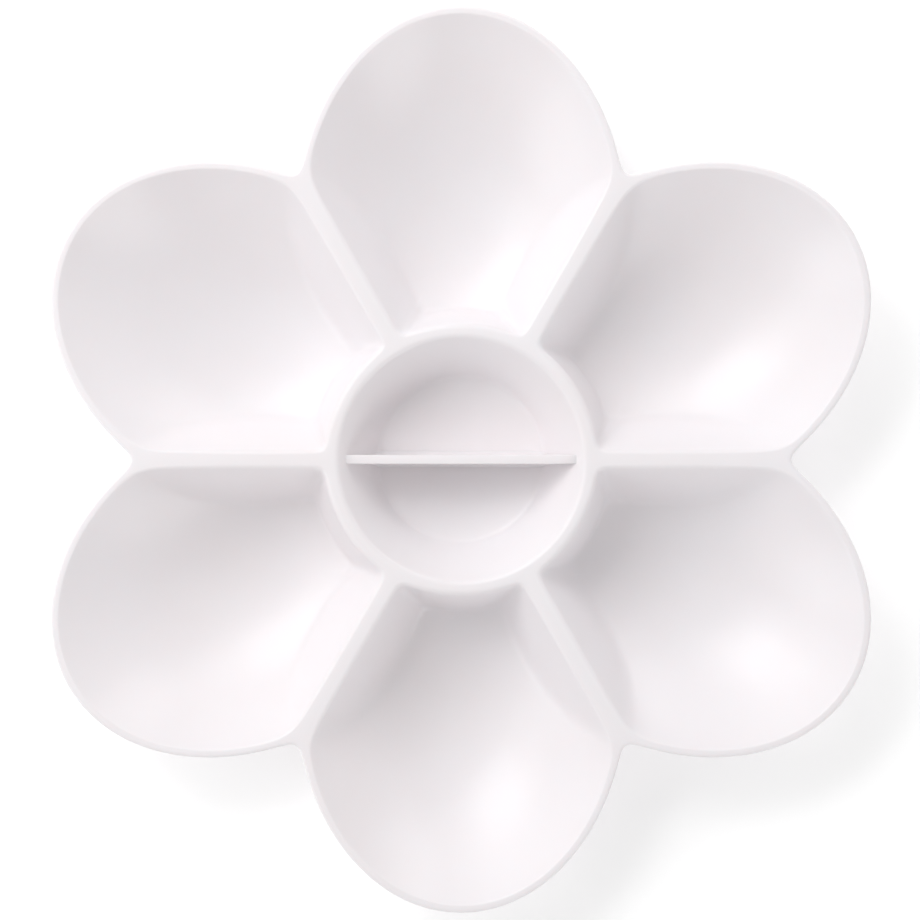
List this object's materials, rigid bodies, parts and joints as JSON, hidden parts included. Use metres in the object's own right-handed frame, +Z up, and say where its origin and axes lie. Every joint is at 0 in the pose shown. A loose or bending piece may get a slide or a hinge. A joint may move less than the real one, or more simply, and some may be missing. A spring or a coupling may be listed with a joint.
{
  "type": "mixing palette",
  "caption": "Flower-shaped mixing palette: scooped petal wells in a ring about a round, dished hub well that a thin upright divider splits in half.",
  "frame": {"origin": "under the middle of the hub well, on the surface the palette stands on", "axes": "+Z up out of the wells; +Y along the axis of one petal, so that two petals lie along Y; +X along the centre divider"},
  "size_m": [0.1626, 0.18, 0.018],
  "materials": {
    "dish": "glossy moulded white with a faint warm pink cast",
    "centre_divider": "glossy moulded white with a faint warm pink cast"
  },
  "bodies": {
    "root": {"dish": "dish", "centre_divider": "centre_divider"}
  },
  "joints": []
}
